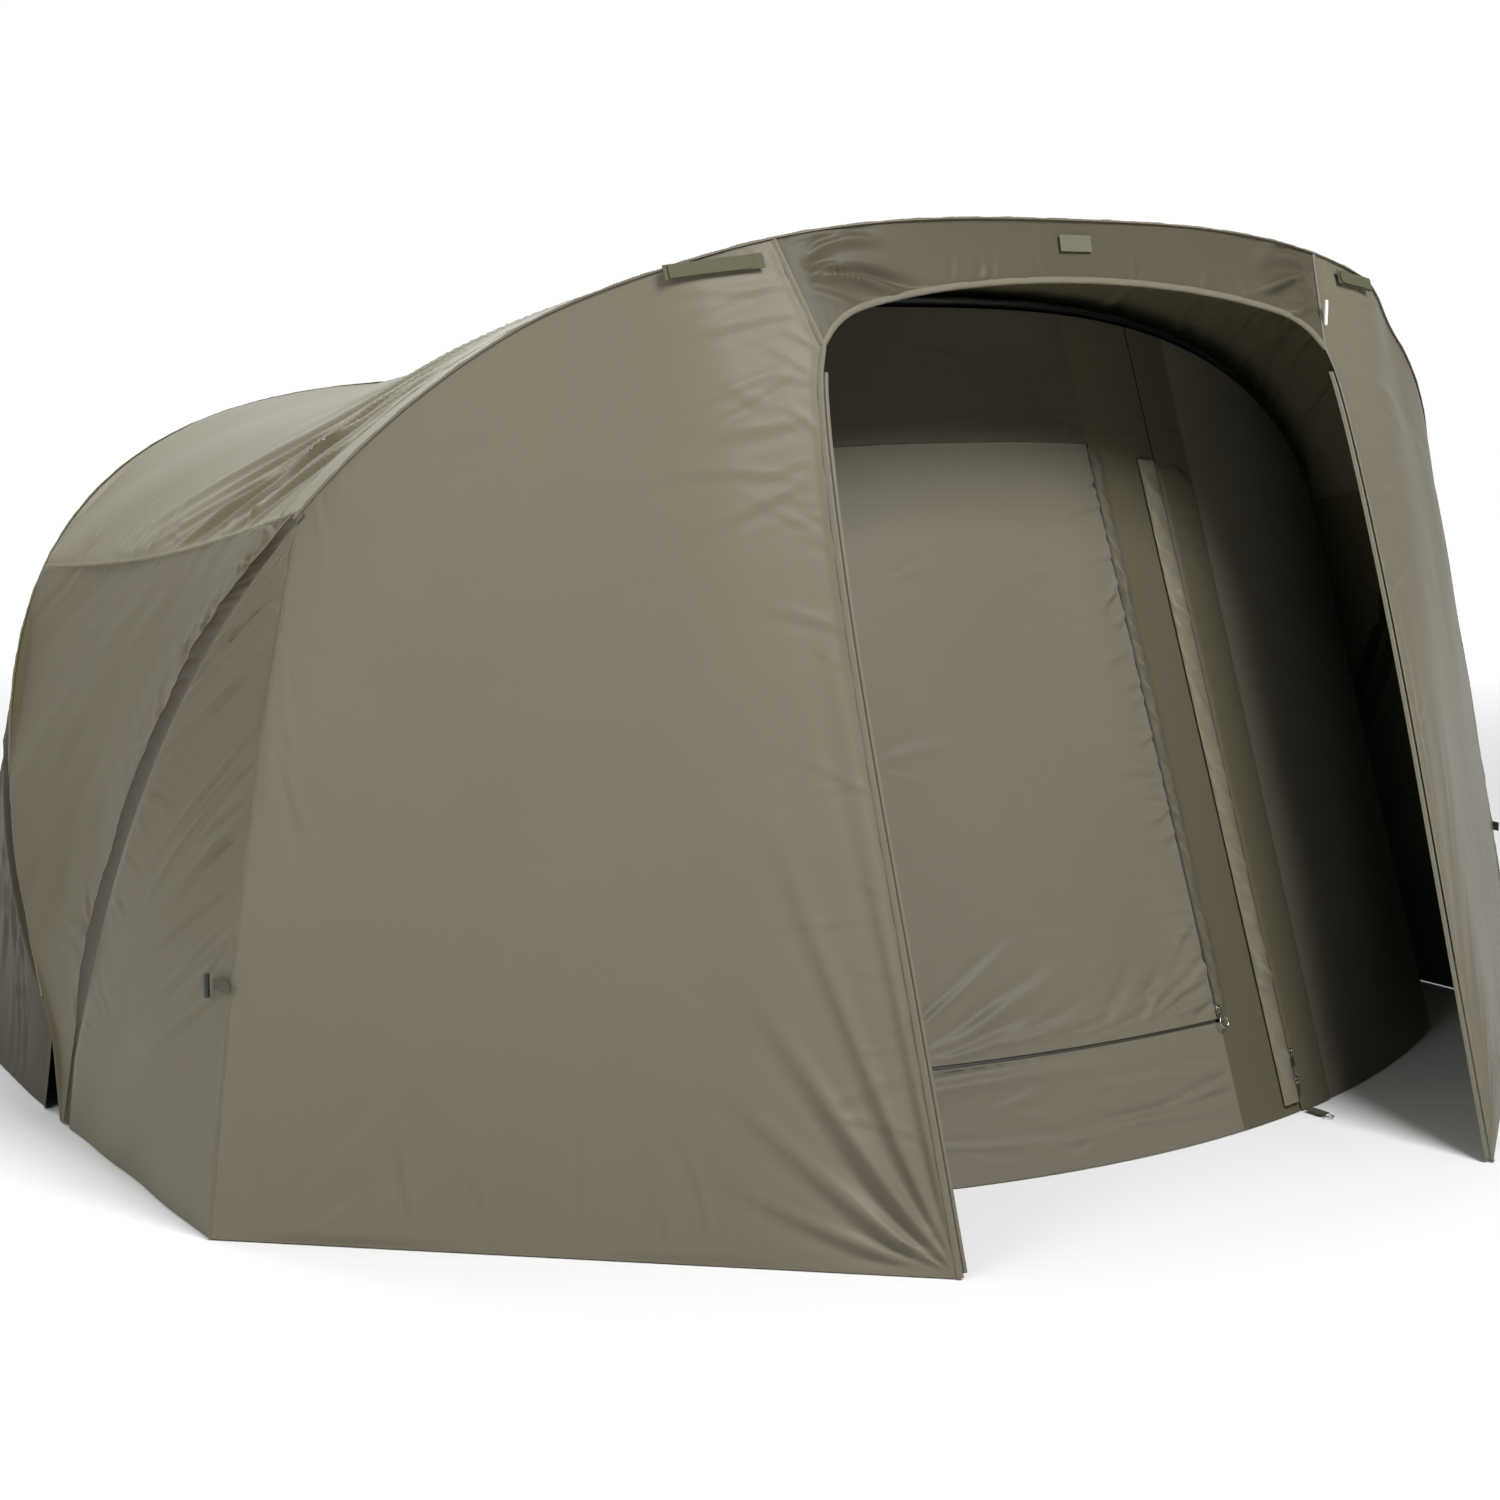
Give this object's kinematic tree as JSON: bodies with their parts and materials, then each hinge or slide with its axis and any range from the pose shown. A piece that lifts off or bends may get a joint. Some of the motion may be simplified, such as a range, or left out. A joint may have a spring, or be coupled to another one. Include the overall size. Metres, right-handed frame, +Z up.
{
  "type": "fishing shelter",
  "caption": "Two-person pram-hood shelter with folding ribs on ground hubs, an outer wrap with arched porch door, zipped inner front wall and groundsheet.",
  "frame": {"origin": "middle of the footprint, on the ground", "axes": "+Z up, the porch door faces -Y, +X to the right of a person facing the door from outside"},
  "size_m": [2.9272, 3.2993, 1.602],
  "materials": {
    "coated_nylon_olive": "coated, slight sheen",
    "coated_nylon_band": "coated, slight sheen",
    "coated_nylon_shaded": "coated, dull",
    "inner_nylon": "coated, dull",
    "floor_sheet": "matt",
    "webbing_pale": "woven",
    "webbing_dark": "woven",
    "zip_coil": "satin",
    "bright_steel": "bright",
    "anodised_tube": "anodised dark",
    "moulded_nylon": "moulded",
    "white_cord": "woven",
    "blank_patch": "woven"
  },
  "bodies": {
    "shelter": {"crown_band": "coated_nylon_band", "door_header": "coated_nylon_olive", "door_zip": "zip_coil", "groundsheet": "floor_sheet", "header_patch": "blank_patch", "hub_block_left": "moulded_nylon", "hub_block_right": "moulded_nylon", "hub_pin_left": "bright_steel", "hub_pin_right": "bright_steel", "inner_facing": "inner_nylon", "inner_header": "inner_nylon", "inner_side_left": "inner_nylon", "inner_side_right": "inner_nylon", "inner_skirt": "inner_nylon", "inner_strip": "inner_nylon", "inner_wall_left": "inner_nylon", "inner_wall_right": "inner_nylon", "main_zip": "zip_coil", "peg_tab": "webbing_dark", "porch_zip_left": "zip_coil", "porch_zip_right": "zip_coil", "rear_panel_centre": "coated_nylon_shaded", "rear_panel_left": "coated_nylon_shaded", "rear_panel_right": "coated_nylon_shaded", "roof_panel": "coated_nylon_olive", "side_panel_left": "coated_nylon_olive", "side_panel_right": "coated_nylon_olive", "side_tab_left": "webbing_dark", "side_tab_right": "webbing_dark", "sill_zip": "zip_coil", "storm_flap": "inner_nylon", "strap_base_left": "webbing_pale", "strap_base_right": "webbing_pale", "wrap_front_left": "coated_nylon_olive", "wrap_front_right": "coated_nylon_olive", "wrap_gusset_left": "coated_nylon_olive", "wrap_gusset_right": "coated_nylon_olive"},
    "front_rib": {"front_rib_crown": "anodised_tube", "front_rib_leg_left": "anodised_tube", "front_rib_leg_right": "anodised_tube", "rib_sleeve_left": "coated_nylon_shaded", "rib_sleeve_right": "coated_nylon_shaded"},
    "middle_rib": {"middle_rib_crown": "anodised_tube", "middle_rib_leg_left": "anodised_tube", "middle_rib_leg_right": "anodised_tube"},
    "rear_rib": {"rear_rib_crown": "anodised_tube", "rear_rib_leg_left": "anodised_tube", "rear_rib_leg_right": "anodised_tube"},
    "door": {"inner_door": "inner_nylon"},
    "door_slider": {"door_zip_slider": "bright_steel"},
    "door_ring": {"door_ring_puller": "bright_steel"},
    "main_slider_upper": {"main_zip_slider_upper": "bright_steel"},
    "main_slider_lower": {"main_zip_slider_lower": "bright_steel"},
    "strap_left": {"strap_tab_left": "webbing_pale"},
    "strap_right": {"strap_tab_right": "webbing_pale"},
    "toggle_left": {"side_toggle_left": "moulded_nylon"},
    "toggle_right": {"side_toggle_right": "moulded_nylon"},
    "porch_pull": {"porch_puller": "white_cord"},
    "peg_loop": {"peg_ring": "bright_steel"}
  },
  "joints": [
    {"name": "rear_rib_fold", "type": "hinge", "parent": "shelter", "child": "rear_rib", "pos_m": [0, -0.126, 0.03], "axis": [1, 0, 0], "range_deg": [0, 38], "deforming": ["wrap_front_left", "wrap_gusset_left", "rib_sleeve_left", "side_panel_left", "inner_side_left", "rear_panel_left", "wrap_front_right", "wrap_gusset_right", "rib_sleeve_right", "side_panel_right", "inner_side_right", "rear_panel_right", "crown_band", "roof_panel", "door_header", "rear_panel_centre", "inner_wall_left", "inner_door", "inner_skirt", "inner_header", "inner_strip", "inner_facing", "inner_wall_right", "storm_flap", "door_zip", "sill_zip", "main_zip", "porch_zip_left", "porch_zip_right", "strap_base_left", "strap_base_right", "header_patch", "side_tab_left", "side_tab_right", "peg_tab"]},
    {"name": "front_rib_fold", "type": "hinge", "parent": "shelter", "child": "front_rib", "pos_m": [0, -0.126, 0.03], "axis": [1, 0, 0], "range_deg": [-33.3, 0]},
    {"name": "middle_rib_fold", "type": "hinge", "parent": "shelter", "child": "middle_rib", "pos_m": [0, -0.126, 0.03], "axis": [1, 0, 0], "range_deg": [-22, 0]},
    {"name": "door_open", "type": "hinge", "parent": "shelter", "child": "door", "pos_m": [-0.5213, -1.168, 0.1851], "axis": [0.0147, 0.3445, 0.9387], "range_deg": [-70, 0]},
    {"name": "door_slider_run", "type": "slide", "parent": "shelter", "child": "door_slider", "axis": [0.0089, -0.3607, -0.9326], "range_m": [-1.02, 0]},
    {"name": "door_ring_swing", "type": "hinge", "parent": "door_slider", "child": "door_ring", "pos_m": [0.3284, -1.2225, 0.1981], "axis": [0.9858, 0.1675, -0.0109], "range_deg": [-85, 0]},
    {"name": "main_slider_upper_run", "type": "slide", "parent": "shelter", "child": "main_slider_upper", "axis": [0.0141, -0.3462, -0.938], "range_m": [-1.09, 0]},
    {"name": "main_slider_lower_run", "type": "slide", "parent": "shelter", "child": "main_slider_lower", "axis": [0.0141, -0.3462, -0.938], "range_m": [-0.025, 0]},
    {"name": "strap_left_lift", "type": "hinge", "parent": "shelter", "child": "strap_left", "pos_m": [-0.7553, -1.1093, 1.5026], "axis": [-0.0328, 0.349, 0.9365], "range_deg": [-80, 0]},
    {"name": "strap_right_lift", "type": "hinge", "parent": "shelter", "child": "strap_right", "pos_m": [0.7362, -1.1144, 1.5052], "axis": [-0.0328, -0.349, -0.9365], "range_deg": [-80, 0]},
    {"name": "toggle_left_turn", "type": "hinge", "parent": "shelter", "child": "toggle_left", "pos_m": [-1.4227, -0.795, 0.3867], "axis": [1, 0, 0], "range_deg": [-80, 0]},
    {"name": "toggle_right_turn", "type": "hinge", "parent": "shelter", "child": "toggle_right", "pos_m": [1.4227, -0.795, 0.3867], "axis": [1, 0, 0], "range_deg": [-80, 0]},
    {"name": "porch_pull_swing", "type": "hinge", "parent": "shelter", "child": "porch_pull", "pos_m": [0.5463, -1.1985, 1.475], "axis": [1, 0, 0], "range_deg": [-70, 0]},
    {"name": "peg_ring_lift", "type": "hinge", "parent": "shelter", "child": "peg_loop", "pos_m": [0.5164, -1.2905, 0.0042], "axis": [1, 0, 0], "range_deg": [-85, 0]}
  ],
  "couplings": [
    {"joint": "front_rib_fold", "follows": "rear_rib_fold", "ratio": -0.875},
    {"joint": "middle_rib_fold", "follows": "rear_rib_fold", "ratio": -0.578}
  ]
}
